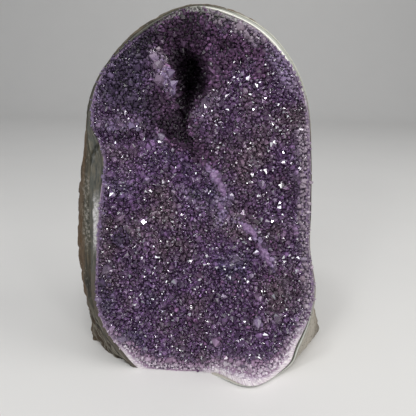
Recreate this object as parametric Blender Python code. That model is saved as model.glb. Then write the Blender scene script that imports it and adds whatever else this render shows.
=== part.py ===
# Amethyst cluster: the half of a cut geode that stands on its sawn base, with its druse facing -Y.
# Lengths are in millimetres and become metres when a mesh is made. +Z is up, +X is to the right.
import math

import bmesh
import bpy
import numpy as np
from mathutils import Vector
from mathutils.geometry import delaunay_2d_cdt

MM = 0.001
COLLECTION = "amethyst_cluster"

# Stations of the rim, anticlockwise from the left end of the nose: the edge of the crystal crust
# (x, z), the widest edge of the rock (x, z), how far that lies behind the face, and the width of
# the agate beside the crust. Below z = 0 they say only how the rock would have gone on: the base
# is sawn off there.
STATIONS = [
    ((12, 1.5), (25, -44), 48, 1.2),
    ((31, 2.2), (50, -36), 50, 1.2),
    ((49, 1.8), (70, -16), 46, 1.2),
    ((60.5, 7.2), (86.5, -5), 47, 1.4),
    ((64.5, 18), (92.5, 3), 46, 1.8),
    ((71, 36), (83, 35), 36, 1.3),
    ((74, 58), (77, 61), 32, 0.9),
    ((69, 84), (72, 88), 32, 0.8),
    ((67, 115), (70, 115), 32, 0.8),
    ((65.5, 145), (68.7, 143), 30, 0.8),
    ((60.5, 178), (64.5, 177), 29, 1.2),
    ((47, 202.5), (51.5, 204), 27, 1.9),
    ((26.5, 220), (29, 224.5), 25, 1.5),
    ((-3, 229), (-2, 233.5), 25, 0.9),
    ((-27.5, 222), (-32, 225.5), 26, 0.8),
    ((-51, 204.5), (-56.5, 206), 27, 0.8),
    ((-66, 184), (-73, 182), 29, 1),
    ((-70, 161), (-79.5, 161), 30, 2.2),
    ((-63, 141), (-84, 138), 30, 8),
    ((-66, 114), (-89, 112), 31, 6.5),
    ((-69, 82), (-91.3, 80), 32, 3.4),
    ((-70, 50), (-88.5, 52), 31, 2.6),
    ((-63, 25), (-85.5, 27), 30, 2.4),
    ((-52.5, 11), (-82.5, 5), 30, 2.2),
    ((-40, -2), (-76, -16), 32, 2),
    ((-20, -7), (-40, -42), 40, 2),
    ((-2, -4), (-8, -46), 46, 1.5),
]
RIM_STEPS = 66  # spans of every ring
POLE_X, POLE_Z = 0, 75  # the rings close round this line

# The crust's face: a plane that leans back, with a nose that pushes forward over the right foot.
FACE_Y = -41.0
FACE_LEAN = 0.16
NOSE_X, NOSE_FORWARD, NOSE_WIDTH, NOSE_HEIGHT = 31, 17, 21, 42

# The deep pocket under the crown, as two wells that run together: x, z, half width, half height, depth.
POCKET_WELLS = [
    (-8.5, 189, 11, 15, 30),
    (-12.5, 172, 5.5, 14, 18),
]
# Soft swellings of the face (x, z, half width, half height, forward) and hollows, which are negative.
SWELLINGS = [
    (-6, 207, 30, 14, -9),  # hollow under the crown, which leads down into the pocket
    (-26, 190, 6.5, 11, 5),  # left lip of the pocket
    (22, 172, 26, 22, 5),  # right lobe
    (-6, 165, 9, 10, 3),  # the lobe's bright edge
    (-52, 181, 20, 15, 4),  # left lobe, over the ledge
    (-48, 154, 26, 5.5, -6),  # groove under the ledge
    (-28, 146, 15, 8, 2.5),
    (-9, 146, 6, 14, -4.5),  # valley below the pocket
    (30, 98, 40, 28, -2.5),
    (-20, 100, 26, 34, 2.5),
    (-45, 45, 22, 28, 2),
    (14, 42, 20, 18, -2.5),
]
VEIN = [(0, 141), (7, 130), (18, 110), (27, 99), (36, 91), (45, 77)]  # low ridge of pale crystals
VEIN_WIDTH, VEIN_FORWARD = 3.5, 1.8

# Crystals of the crust.
CRYSTAL_SPACING = 6.6
CRYSTAL_HEIGHT = (2.4, 4.6)
CRYSTAL_TILT = 0.45
FOOT_BEHIND_FACE = 2.0

# Crust thickness: at its edge, over the middle, and the swelling behind the pocket.
CRUST_EDGE, CRUST_MIDDLE = 6.0, 18.0
POCKET_BACK_X, POCKET_BACK_Z, POCKET_BACK_REACH, POCKET_BACK_DEPTH = -9, 186, 27, 27
CRUST_RINGS = [0.93, 0.82, 0.68, 0.5, 0.28]
WALL_SHRINK = 0.985

AGATE_THICKNESS = 2.5
GAP = 0.3  # between neighbouring pieces
SAW_SNAP = 0.25  # corners this near the sawn base are moved onto it
RIM_BEHIND_FACE = 1.2  # how far the agate and the rock stay behind the crust's front
ROCK_LIP = 0.6  # rock beside the agate before it turns back

# Rock between its front lip and its widest edge: rings at these shares of the way outwards, which go
# back by the share raised to a power that grows from the ground to a height.
FLANK_OUT = (0.28, 0.55, 0.8)
FLANK_HEIGHTS, FLANK_POWERS = (0, 60), (1.0, 1.7)
# Rock behind its widest edge: rings round the shoulder, then facets of about this size.
BACK_RINGS = [0.975, 0.93, 0.87]
BACK_FACET = 13
BACK_Y = 59.5
BACK_LEAN = 0.0003  # how the back comes forward with the square of the height
BACK_FULLNESS, BACK_POWER = 4, 0.6
FLANK_LUMP, SHOULDER_LUMP, BACK_LUMP = 0.5, 1.2, 2.2
FLANK_CHIP, BACK_CHIP = 0.4, 1.5  # largest shift of a corner of the rock
SEED = 11


def smooth_loop(rows, count):
    """Points at even steps along a smooth closed curve (Catmull-Rom) through the given rows."""
    start = np.asarray(rows, float)
    before, end, after = np.roll(start, 1, 0), np.roll(start, -1, 0), np.roll(start, -2, 0)
    t = np.linspace(0, 1, 24, endpoint=False)[:, None, None]
    fine = 0.5 * (
        2 * start
        + (end - before) * t
        + (2 * before - 5 * start + 4 * end - after) * t**2
        + (3 * start - before - 3 * end + after) * t**3
    )
    fine = fine.transpose(1, 0, 2).reshape(-1, start.shape[1])
    fine = np.vstack([fine, fine[:1]])
    steps = np.linalg.norm(np.diff(fine[:, :2], axis=0), axis=1)
    along = np.concatenate([[0], np.cumsum(steps)])
    wanted = np.linspace(0, along[-1], count, endpoint=False)
    return np.column_stack([np.interp(wanted, along, column) for column in fine.T])


def face_y(x, z):
    """Depth of the plain face at x, z."""
    nose = np.exp(-(((x - NOSE_X) / NOSE_WIDTH) ** 2)) * np.exp(-((z / NOSE_HEIGHT) ** 2))
    return FACE_Y + FACE_LEAN * z - NOSE_FORWARD * nose


def bump(x, z, centre_x, centre_z, half_width, half_height, power):
    """One at the centre, falling to nothing past the half width and half height."""
    reach = ((x - centre_x) / half_width) ** 2 + ((z - centre_z) / half_height) ** 2
    return np.exp(-(reach ** (power / 2)))


def distance_to_line(x, z, points):
    """Distance in the face from x, z to a broken line."""
    nearest = np.full(np.shape(x), 1e9)
    for (ax, az), (bx, bz) in zip(points, points[1:]):
        dx, dz = bx - ax, bz - az
        share = np.clip(((x - ax) * dx + (z - az) * dz) / (dx * dx + dz * dz), 0, 1)
        nearest = np.minimum(nearest, np.hypot(x - ax - share * dx, z - az - share * dz))
    return nearest


def relief(x, z):
    """How far the crust's surface lies behind the plain face."""
    depth = 0.9 * np.sin(x / 11 + 0.6) * np.sin(z / 13 + 1.1) + 0.7 * np.sin(x / 7 - z / 9)
    for well_x, well_z, half_width, half_height, deep in POCKET_WELLS:
        depth = depth + deep * bump(x, z, well_x, well_z, half_width, half_height, 4)
    for at_x, at_z, half_width, half_height, forward in SWELLINGS:
        depth = depth - forward * bump(x, z, at_x, at_z, half_width, half_height, 2)
    line = distance_to_line(x, z, VEIN)
    return depth - VEIN_FORWARD * np.exp(-((line / VEIN_WIDTH) ** 2))


def make_rim():
    """The rim at even steps: crust edge, widest rock edge, its depth, agate width, outward way."""
    path = smooth_loop([(*crust, *rock, *sizes) for crust, rock, *sizes in STATIONS], RIM_STEPS)
    edge, widest, depth, agate = path[:, :2], path[:, 2:4], path[:, 4], path[:, 5]
    outward = widest - edge
    outward /= np.linalg.norm(outward, axis=1)[:, None]
    return edge, widest, depth, agate, outward


def at_depth(flat, y):
    """Rows of x, y, z from rows of x, z and a depth."""
    return np.column_stack([flat[:, 0], np.broadcast_to(y, len(flat)), flat[:, 1]])


def shrink(flat, share):
    """A smaller copy of a curve, drawn in towards the pole."""
    pole = np.array([POLE_X, POLE_Z])
    return pole + (flat - pole) * share


def crust_depth(x, z, share):
    """Thickness of the crust at a share of the way out from the pole to its edge."""
    thickness = CRUST_EDGE + (CRUST_MIDDLE - CRUST_EDGE) * (1 - share**4)
    behind = np.hypot(x - POCKET_BACK_X, z - POCKET_BACK_Z) / POCKET_BACK_REACH
    return thickness + POCKET_BACK_DEPTH * np.exp(-(behind**2))


def bed_rings(edge, outward, rim_width, offset):
    """The bowl behind the crust, from its wall to its pole, offset outwards and backwards."""
    rings = []
    for share in [WALL_SHRINK] + CRUST_RINGS:
        inner = shrink(edge, share)
        y = face_y(*inner.T) + crust_depth(*inner.T, share) + offset
        spread = rim_width if share == WALL_SHRINK else offset
        rings.append(at_depth(inner + outward * np.reshape(spread, (-1, 1)), y))
    pole_y = face_y(POLE_X, POLE_Z) + crust_depth(POLE_X, POLE_Z, 0) + offset
    return rings, (POLE_X, pole_y, POLE_Z)


def rim_ring(edge, outward, width, behind):
    """A curve in the front of the rim, beside the crust's edge."""
    flat = edge + outward * np.reshape(width, (-1, 1))
    return at_depth(flat, face_y(*flat.T) + behind)


def loft(bm, rings, first_pole=None, last_pole=None):
    """Quads between neighbouring closed rings, and fans of triangles to the poles."""
    rows = [[bm.verts.new(Vector(point) * MM) for point in ring] for ring in rings]
    for low, high in zip(rows, rows[1:]):
        for k in range(len(low)):
            bm.faces.new((low[k - 1], low[k], high[k], high[k - 1]))
    for pole, row in ((first_pole, rows[0]), (last_pole, rows[-1])):
        if pole is None:
            continue
        tip = bm.verts.new(Vector(pole) * MM)
        for k in range(len(row)):
            bm.faces.new((row[k - 1], row[k], tip))


def saw_flat(bm):
    """Merge the seams, saw the foot off flat on the ground, and point the faces outwards."""
    bmesh.ops.remove_doubles(bm, verts=bm.verts, dist=0.001 * MM)
    bmesh.ops.triangulate(bm, faces=bm.faces)
    bmesh.ops.bisect_plane(
        bm,
        geom=[*bm.verts, *bm.edges, *bm.faces],
        dist=SAW_SNAP * MM,
        plane_co=(0, 0, 0),
        plane_no=(0, 0, -1),
        clear_outer=True,
    )
    cut = [edge for edge in bm.edges if edge.is_boundary]
    for corner in {corner for edge in cut for corner in edge.verts}:
        corner.co.z = 0
    bmesh.ops.holes_fill(bm, edges=cut, sides=0)
    bmesh.ops.triangulate(bm, faces=bm.faces)
    bmesh.ops.recalc_face_normals(bm, faces=bm.faces)


def add_piece(bm, name, collection, material):
    mesh = bpy.data.meshes.new(name)
    bm.to_mesh(mesh)
    bm.free()
    piece = bpy.data.objects.new(name, mesh)
    piece.data.materials.append(material)
    collection.objects.link(piece)


def is_inside(points, loop):
    """Whether each point lies inside a closed loop: it is, if a line to its right crosses it oddly."""
    inside = np.zeros(len(points), bool)
    for (ax, az), (bx, bz) in zip(loop, np.roll(loop, -1, 0)):
        crosses = (az > points[:, 1]) != (bz > points[:, 1])
        slope = (bx - ax) / (bz - az if bz != az else 1)
        inside ^= crosses & (points[:, 0] < ax + (points[:, 1] - az) * slope)
    return inside


def scatter_inside(loop, spacing, rng):
    """The loop's own points, points scattered evenly inside it, and the triangles between them."""
    rows = []
    for row, z in enumerate(np.arange(loop[:, 1].min(), loop[:, 1].max(), spacing * math.sqrt(0.75))):
        x = np.arange(loop[:, 0].min() + (row % 2) * spacing / 2, loop[:, 0].max(), spacing)
        rows.append(np.column_stack([x, np.full(len(x), z)]))
    places = np.vstack(rows)
    places += rng.uniform(-0.3, 0.3, places.shape) * spacing
    clear = distance_to_line(*places.T, [*loop, loop[0]]) > 0.55 * spacing
    places = places[clear & is_inside(places, loop)]
    corners = [Vector(point) for point in np.vstack([loop, places])]
    flat, _, triangles, _, _, _ = delaunay_2d_cdt(corners, [], [list(range(len(loop)))], 1, 1e-6)
    return np.array(flat), triangles


def grow_crystals(bm, edge, rng):
    """Cover the face with points: each is a pyramid on the cell round one place of the face."""
    flat, triangles = scatter_inside(edge, CRYSTAL_SPACING, rng)
    border = len(edge)
    centres = np.array([flat[list(triangle)].mean(axis=0) for triangle in triangles])
    centre_y = face_y(*centres.T) + relief(*centres.T) + FOOT_BEHIND_FACE
    feet = [bm.verts.new(Vector(point) * MM) for point in at_depth(centres, centre_y)]
    rim_y = face_y(*edge.T) + RIM_BEHIND_FACE
    rim = [bm.verts.new(Vector(point) * MM) for point in at_depth(edge, rim_y)]
    around = {corner: [] for corner in range(len(flat))}
    for number, triangle in enumerate(triangles):
        for corner in triangle:
            around[corner].append(number)
    for corner, cells in around.items():
        spokes = centres[cells] - flat[corner]
        start = math.atan2(*spokes.mean(axis=0)[::-1]) - math.pi if corner < border else 0
        angles = (np.arctan2(spokes[:, 1], spokes[:, 0]) - start) % (2 * math.pi)
        order = [cells[k] for k in np.argsort(angles)]
        if corner < border:
            tip = rim[corner]
            pairs = zip(order, order[1:])
        else:
            height = rng.uniform(*CRYSTAL_HEIGHT)
            x, z = flat[corner] + rng.uniform(-CRYSTAL_TILT, CRYSTAL_TILT, 2) * height
            tip = bm.verts.new(Vector((x, centre_y[order].mean() - height, z)) * MM)
            pairs = zip(order, order[1:] + order[:1])
        for a, b in pairs:
            bm.faces.new((feet[a], feet[b], tip))
    for number, (a, b, c) in enumerate(triangles):
        for p, q in ((a, b), (b, c), (c, a)):
            if max(p, q) < border and (q - p) % border in (1, border - 1):
                bm.faces.new((rim[p], rim[q], feet[number]))


def make_crust(collection, material, rng):
    """Amethyst points grown together, as one crust with a rounded back."""
    edge, _, _, _, outward = make_rim()
    bm = bmesh.new()
    grow_crystals(bm, edge, rng)
    rings, pole = bed_rings(edge, outward, 0, 0)
    loft(bm, [rim_ring(edge, outward, 0, RIM_BEHIND_FACE)] + rings, last_pole=pole)
    saw_flat(bm)
    add_piece(bm, "amethyst_crust", collection, material)


def make_agate(collection, material):
    """The layer of grey agate that the crystals grew on, which shows as a band round the crust."""
    edge, _, _, width, outward = make_rim()
    bm = bmesh.new()
    inner, inner_pole = bed_rings(edge, outward, GAP, GAP)
    outer, outer_pole = bed_rings(edge, outward, GAP + width, GAP + AGATE_THICKNESS)
    front = [
        rim_ring(edge, outward, GAP, RIM_BEHIND_FACE),
        rim_ring(edge, outward, GAP + width, RIM_BEHIND_FACE),
    ]
    loft(bm, inner[::-1] + front + outer, inner_pole, outer_pole)
    saw_flat(bm)
    add_piece(bm, "agate_lining", collection, material)


def back_y(flat, widest, broad_y):
    """Depth of the rock's back at rows of x, z: a dome over the widest edge, fullest at the pole."""
    pole = np.array([POLE_X, POLE_Z])
    rim_way, way = widest - pole, flat - pole
    rim_angle = np.arctan2(rim_way[:, 1], rim_way[:, 0])
    angle = np.arctan2(way[:, 1], way[:, 0])
    rim_reach = np.interp(angle, *sorted_by(rim_angle, np.hypot(*rim_way.T)), period=2 * math.pi)
    edge_y = np.interp(angle, *sorted_by(rim_angle, broad_y), period=2 * math.pi)
    share = np.minimum(np.hypot(*way.T) / rim_reach, 1)
    full_y = BACK_Y - BACK_LEAN * flat[:, 1] ** 2
    return edge_y + (full_y - edge_y) * (1 - share**BACK_FULLNESS) ** BACK_POWER


def sorted_by(keys, values):
    order = np.argsort(keys)
    return keys[order], values[order]


def roughen(points, way, lump, chip, rng):
    """Rows of x, y, z set back from the given ways by hollows, and their corners chipped at random."""
    x, y, z = points.T
    lumps = np.sin(x / 15 + 1) * np.sin(z / 19 + 0.4) + 0.6 * np.sin(y / 8 + z / 12 + x / 23) - 1
    return points + way * (lumps * lump)[:, None] + rng.uniform(-chip, chip, points.shape)


def make_rind(collection, material, rng):
    """The basalt that the geode grew in, open at the front and sawn flat below."""
    edge, widest, depth, width, outward = make_rim()
    bm = bmesh.new()
    inner, inner_pole = bed_rings(edge, outward, width + 2 * GAP, AGATE_THICKNESS + 2 * GAP)
    mouth = rim_ring(edge, outward, width + 2 * GAP, RIM_BEHIND_FACE + 0.4)
    lip = rim_ring(edge, outward, width + 2 * GAP + ROCK_LIP, RIM_BEHIND_FACE + 1)
    broad_y = face_y(*widest.T) + depth
    broad = at_depth(widest, broad_y)
    sideways = at_depth(outward, 0)
    outside = [lip]
    power = np.interp(edge[:, 1], FLANK_HEIGHTS, FLANK_POWERS)
    for out in FLANK_OUT:
        way = np.column_stack([np.full(RIM_STEPS, out), out**power, np.full(RIM_STEPS, out)])
        ring = lip + (broad - lip) * way
        outside.append(roughen(ring, sideways, FLANK_LUMP, FLANK_CHIP, rng))
    outside.append(roughen(broad, sideways, FLANK_LUMP, FLANK_CHIP, rng))
    for share in BACK_RINGS:
        flat = shrink(widest, share)
        ring = at_depth(flat, back_y(flat, widest, broad_y))
        outside.append(roughen(ring, sideways + (0, 1, 0), SHOULDER_LUMP, FLANK_CHIP, rng))
    loft(bm, inner[::-1] + [mouth] + outside, inner_pole)

    last = outside[-1]
    flat, triangles = scatter_inside(last[:, [0, 2]], BACK_FACET, rng)
    inner_back = at_depth(flat, back_y(flat, widest, broad_y))
    rough = roughen(inner_back, np.array([0, 1, 0]), BACK_LUMP, BACK_CHIP, rng)
    rough[: len(last)] = last
    corners = [bm.verts.new(Vector(point) * MM) for point in rough]
    for triangle in triangles:
        bm.faces.new([corners[k] for k in triangle])
    saw_flat(bm)
    add_piece(bm, "basalt_rind", collection, material)


def make_material(name, colour, roughness, metallic=0.0):
    material = bpy.data.materials.new(name)
    material.use_nodes = True
    shader = material.node_tree.nodes["Principled BSDF"]
    shader.inputs["Base Color"].default_value = (*colour, 1)
    shader.inputs["Roughness"].default_value = roughness
    shader.inputs["Metallic"].default_value = metallic
    return material


def main():
    for old in list(bpy.data.objects):
        bpy.data.objects.remove(old, do_unlink=True)
    collection = bpy.data.collections.new(COLLECTION)
    bpy.context.scene.collection.children.link(collection)
    rng = np.random.default_rng(SEED)
    make_crust(collection, make_material("amethyst", (0.09, 0.04, 0.13), 0.15), rng)
    make_agate(collection, make_material("agate", (0.36, 0.37, 0.33), 0.35))
    make_rind(collection, make_material("basalt", (0.16, 0.14, 0.11), 0.85), rng)


main()
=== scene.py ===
import math

import bmesh
import bpy
import numpy as np
from mathutils import Matrix


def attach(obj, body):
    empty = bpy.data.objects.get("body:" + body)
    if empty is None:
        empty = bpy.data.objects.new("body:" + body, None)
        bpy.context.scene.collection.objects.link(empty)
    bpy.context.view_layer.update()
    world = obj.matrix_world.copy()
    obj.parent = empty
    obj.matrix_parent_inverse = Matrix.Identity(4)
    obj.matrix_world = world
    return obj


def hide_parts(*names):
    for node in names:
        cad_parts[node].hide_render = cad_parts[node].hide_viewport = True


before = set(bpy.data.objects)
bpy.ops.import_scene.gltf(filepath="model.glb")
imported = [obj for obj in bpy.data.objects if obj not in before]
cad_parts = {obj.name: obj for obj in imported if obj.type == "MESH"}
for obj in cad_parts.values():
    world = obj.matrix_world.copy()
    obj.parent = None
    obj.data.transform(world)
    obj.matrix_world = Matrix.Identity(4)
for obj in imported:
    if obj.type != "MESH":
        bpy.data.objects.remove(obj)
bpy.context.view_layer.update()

# Amethyst cluster: a cut geode that stands on its sawn base. Lengths here are in millimetres, in the
# frame of the CAD, and they become metres where a mesh is made. The face looks to -Y and +Z is up.

mm = 0.001


# noise and curves

noiseTable = np.random.default_rng(5).random(8192)


def latticeNoise(points, size, seed=0):
    # Value noise: random numbers on the corners of a lattice of the given size, blended inside each
    # cell by 3t^2 - 2t^3 along every axis. From -1 to 1.
    cell = np.asarray(points, float) / size
    low = np.floor(cell).astype(np.int64)
    t = cell - low
    t = t * t * (3 - 2 * t)
    total = np.zeros(cell.shape[:-1])
    for corner in np.ndindex(2, 2, 2):
        at = low + corner
        key = at[..., 0] * 73856093 ^ at[..., 1] * 19349663 ^ at[..., 2] * 83492791 ^ (seed * 7919)
        weight = np.prod(np.where(corner, t, 1 - t), axis=-1)
        total += noiseTable[key & 8191] * weight
    return total * 2 - 1


def fractalNoise(points, size, octaves=4, seed=0, fall=0.5):
    # Sum of lattice noises, each of half the size and a share of the height of the one before.
    total, height, most = 0, 1, 0
    for octave in range(octaves):
        total = total + height * latticeNoise(points, size / 2**octave, seed + octave)
        most += height
        height *= fall
    return total / most


def ridges(noise):
    # Sharp crests where the noise passes zero: 1 - 2 |noise|.
    return 1 - 2 * np.abs(noise)


def smoothStep(low, high, value):
    # 0 at low, 1 at high and 3t^2 - 2t^3 in between. It falls where low is above high.
    t = np.clip((value - low) / (high - low), 0, 1)
    return t * t * (3 - 2 * t)


def unit(rows):
    # Each row divided by its length.
    return rows / np.linalg.norm(rows, axis=-1, keepdims=True)


def smoothLoop(rows, count):
    # Catmull-Rom curve through the rows, closed, then read at even steps along its first two columns.
    start = np.asarray(rows, float)
    before, end, after = np.roll(start, 1, 0), np.roll(start, -1, 0), np.roll(start, -2, 0)
    t = np.linspace(0, 1, 48, endpoint=False)[:, None, None]
    fine = 0.5 * (
        2 * start
        + (end - before) * t
        + (2 * before - 5 * start + 4 * end - after) * t**2
        + (3 * start - before - 3 * end + after) * t**3
    )
    fine = fine.transpose(1, 0, 2).reshape(-1, start.shape[1])
    fine = np.vstack([fine, fine[:1]])
    along = np.concatenate([[0], np.cumsum(np.linalg.norm(np.diff(fine[:, :2], axis=0), axis=1))])
    wanted = np.linspace(0, along[-1], count, endpoint=False)
    return np.column_stack([np.interp(wanted, along, column) for column in fine.T])


# the geode's own shape, as the CAD has it

geode = {
    # crust edge (x, z), widest rock edge (x, z), depth of that edge, agate width, width of the pale
    # columnar quartz inside the crust's edge, and how far crystals reach out past that edge
    "stations": [
        ((12, 1.5), (25, -44), 48, 1.2, 5.6, 0.3),
        ((31, 2.2), (50, -36), 50, 1.2, 9.5, 0),
        ((49, 1.8), (70, -16), 46, 1.2, 10, 0),
        ((60.5, 7.2), (86.5, -5), 47, 1.4, 8, 0),
        ((64.5, 18), (92.5, 3), 46, 1.8, 5.2, 0.3),
        ((71, 36), (83, 35), 36, 1.3, 3.4, 0.6),
        ((74, 58), (77, 61), 32, 0.9, 2.2, 1.3),
        ((69, 84), (72, 88), 32, 0.8, 1, 1.7),
        ((67, 115), (70, 115), 32, 0.8, 0.8, 1.6),
        ((65.5, 145), (68.7, 143), 30, 0.8, 0.8, 1.6),
        ((60.5, 178), (64.5, 177), 29, 1.2, 0.8, 1.5),
        ((47, 202.5), (51.5, 204), 27, 1.9, 1, 1),
        ((26.5, 220), (29, 224.5), 25, 1.5, 1.4, 0.2),
        ((-3, 229), (-2, 233.5), 25, 0.9, 1.4, 0.9),
        ((-27.5, 222), (-32, 225.5), 26, 0.8, 1, 1.5),
        ((-51, 204.5), (-56.5, 206), 27, 0.8, 0.8, 1.6),
        ((-66, 184), (-73, 182), 29, 1, 0.8, 1.5),
        ((-70, 161), (-79.5, 161), 30, 2.2, 1, 1.2),
        ((-63, 141), (-84, 138), 30, 8, 0.9, 0.4),
        ((-66, 114), (-89, 112), 31, 6.5, 1.3, 0.5),
        ((-69, 82), (-91.3, 80), 32, 3.4, 0.8, 0.5),
        ((-70, 50), (-88.5, 52), 31, 2.6, 0.9, 0.4),
        ((-63, 25), (-85.5, 27), 30, 2.4, 2.4, 0.4),
        ((-52.5, 11), (-82.5, 5), 30, 2.2, 4.6, 0.4),
        ((-40, -2), (-76, -16), 32, 2, 7, 0.4),
        ((-20, -7), (-40, -42), 40, 2, 8.5, 0.4),
        ((-2, -4), (-8, -46), 46, 1.5, 4.6, 0.4),
    ],
    "pole": (0, 75),  # the rings of every piece shrink towards it
    "faceY": -41, "faceLean": 0.16,  # the face's depth at the foot, and how much it grows with height
    "nose": (31, 17, 21, 42),  # x, forward, half width, height
    # x, z, half width, half height, and how deep or how far forward
    "wells": [(-8.5, 189, 11, 15, 30), (-12.5, 172, 5.5, 14, 18)],
    "swellings": [
        (-6, 207, 30, 14, -9), (-26, 190, 6.5, 11, 5), (22, 172, 26, 22, 5), (-6, 165, 9, 10, 3),
        (-52, 181, 20, 15, 4), (-48, 154, 26, 5.5, -6), (-28, 146, 15, 8, 2.5), (-9, 146, 6, 14, -4.5),
        (30, 98, 40, 28, -2.5), (-20, 100, 26, 34, 2.5), (-45, 45, 22, 28, 2), (14, 42, 20, 18, -2.5),
    ],
    "vein": [(0, 141), (7, 130), (18, 110), (27, 99), (36, 91), (45, 77)],
    "veinWidth": 3.5, "veinForward": 1.8,
    "rimBehind": 1.2, "gap": 0.3, "agateThickness": 2.5, "rockLip": 0.6,
    "crustEdge": 6, "crustMiddle": 18,  # thickness of the crust
    "pocketBack": (-9, 186, 27, 27),  # x, z, reach, how far the bowl swells back behind the pocket
    "flankHeights": (0, 60), "flankPowers": (1.0, 1.7),  # the flank's curve at two heights
    "backY": 59.5, "backLean": 0.0003, "backFullness": 4, "backPower": 0.6,
    # low waves of the crust: height, length along x and along z
    "crossedWave": (0.9, 11, 13), "slantedWave": (0.7, 7, 9),
    "bedShares": (0.985, 0.93, 0.82, 0.68, 0.5, 0.28, 0.02),  # rings of the bowls behind the crust
    "wayRound": 700,  # about the length of the crust's edge
}


def faceY(x, z):
    # A plane that leans back with height, less a nose that falls off as a bell both ways.
    noseX, forward, halfWidth, height = geode["nose"]
    nose = np.exp(-(((x - noseX) / halfWidth) ** 2)) * np.exp(-((z / height) ** 2))
    return geode["faceY"] + geode["faceLean"] * z - forward * nose


def bump(x, z, centreX, centreZ, halfWidth, halfHeight, power):
    # exp(-r^power), with r the distance from the centre counted in half widths and half heights.
    reach = ((x - centreX) / halfWidth) ** 2 + ((z - centreZ) / halfHeight) ** 2
    return np.exp(-(reach ** (power / 2)))


def distanceToLine(x, z, points):
    # Shortest distance from each place to a line made of straight stretches.
    nearest = np.full(np.shape(x), 1e9)
    for (ax, az), (bx, bz) in zip(points, points[1:]):
        dx, dz = bx - ax, bz - az
        share = np.clip(((x - ax) * dx + (z - az) * dz) / (dx * dx + dz * dz), 0, 1)
        nearest = np.minimum(nearest, np.hypot(x - ax - share * dx, z - az - share * dz))
    return nearest


def nearLine(x, z, points, halfWidth, power=4):
    # 1 on a line, falling to 0 beside it: exp(-(distance / half width)^power).
    return np.exp(-((distanceToLine(x, z, points) / halfWidth) ** power))


def relief(x, z):
    # Depth of the crust's surface behind the plain face: low waves, wells and swellings, less the vein.
    height, lengthX, lengthZ = geode["crossedWave"]
    depth = height * np.sin(x / lengthX + 0.6) * np.sin(z / lengthZ + 1.1)
    height, lengthX, lengthZ = geode["slantedWave"]
    depth = depth + height * np.sin(x / lengthX - z / lengthZ)
    for wellX, wellZ, halfWidth, halfHeight, deep in geode["wells"]:
        depth = depth + deep * bump(x, z, wellX, wellZ, halfWidth, halfHeight, 4)
    for atX, atZ, halfWidth, halfHeight, forward in geode["swellings"]:
        depth = depth - forward * bump(x, z, atX, atZ, halfWidth, halfHeight, 2)
    return depth - geode["veinForward"] * nearLine(x, z, geode["vein"], geode["veinWidth"], 2)


def crustY(x, z):
    # Depth of the crust's surface: the plain face plus the relief.
    return faceY(x, z) + relief(x, z)


def makeRim(count):
    # The stations' columns at even steps, and the outward way from the crust's edge to the rock's.
    path = smoothLoop([(*crust, *rock, *sizes) for crust, rock, *sizes in geode["stations"]], count)
    edge, widest = path[:, :2], path[:, 2:4]
    return {"edge": edge, "widest": widest, "depth": path[:, 4], "agate": path[:, 5],
            "quartz": path[:, 6], "spread": path[:, 7], "outward": unit(widest - edge)}


def shrink(flat, share):
    # Places moved towards the pole: pole + share (place - pole).
    pole = np.array(geode["pole"])
    return pole + (flat - pole) * share


def polar(flat):
    # Distance and angle from the pole.
    way = flat - np.array(geode["pole"])
    return np.hypot(way[..., 0], way[..., 1]), np.arctan2(way[..., 1], way[..., 0])


def readByAngle(loop, values, angle):
    # The value of a closed loop's row at each angle about the pole.
    loopAngle = polar(loop)[1]
    order = np.argsort(loopAngle)
    return np.interp(angle, loopAngle[order], values[order], period=2 * math.pi)


def atDepth(flat, y):
    # Points (x, y, z) from places (x, z) and their depth.
    return np.stack([flat[..., 0], np.broadcast_to(y, flat.shape[:-1]), flat[..., 1]], axis=-1)


def bedRings(rim, rimWidth, offset):
    # The bowl behind the crust: thickness edge + (middle - edge)(1 - share^4), with a bell-shaped
    # swelling behind the pocket, pushed outwards and back by the offset.
    backX, backZ, reach, deep = geode["pocketBack"]
    rings = []
    for share in geode["bedShares"]:
        flat = shrink(rim["edge"], share)
        behind = np.hypot(flat[:, 0] - backX, flat[:, 1] - backZ) / reach
        thickness = geode["crustEdge"] + (geode["crustMiddle"] - geode["crustEdge"]) * (1 - share**4)
        y = faceY(*flat.T) + thickness + deep * np.exp(-(behind**2)) + offset
        spread = rimWidth if share > 0.95 else offset * min(1, share * 3)
        rings.append(atDepth(flat + rim["outward"] * np.reshape(spread, (-1, 1)), y))
    return rings


# meshes

def gridNormals(grid):
    # Cross product of the steps along the ring (closed) and across the rings.
    along = np.roll(grid, -1, 1) - np.roll(grid, 1, 1)
    across = np.gradient(grid, axis=0)
    normal = np.cross(along, across)
    return normal / (np.linalg.norm(normal, axis=2, keepdims=True) + 1e-9)


def ringFaces(rows, columns):
    # Quads between neighbouring rings, each ring closed on itself.
    number = np.arange(rows * columns).reshape(rows, columns)
    right = np.roll(number, -1, 1)
    return np.stack([number[:-1], right[:-1], right[1:], number[1:]], axis=-1).reshape(-1, 4)


def addObject(name, data):
    # An object at the origin, in the scene.
    piece = bpy.data.objects.new(name, data)
    bpy.context.scene.collection.objects.link(piece)
    return piece


def addMesh(name, points, faces, smooth=True):
    # A mesh's object, its points in millimetres turned into metres.
    mesh = bpy.data.meshes.new(name)
    faces = faces.tolist() if isinstance(faces, np.ndarray) else faces
    mesh.from_pydata((np.asarray(points).reshape(-1, 3) * mm).tolist(), [], faces)
    piece = addObject(name, mesh)
    mesh.polygons.foreach_set("use_smooth", np.full(len(mesh.polygons), smooth))
    return piece


def addAttributes(piece, domain, times=1, **rows):
    # One number for each point or face under each name, for the materials. Each value of a row counts
    # for that many points or faces that follow each other.
    for name, values in rows.items():
        layer = piece.data.attributes.new(name, "FLOAT", domain)
        layer.data.foreach_set("value", np.repeat(np.asarray(values, np.float32).ravel(), times))


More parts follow.
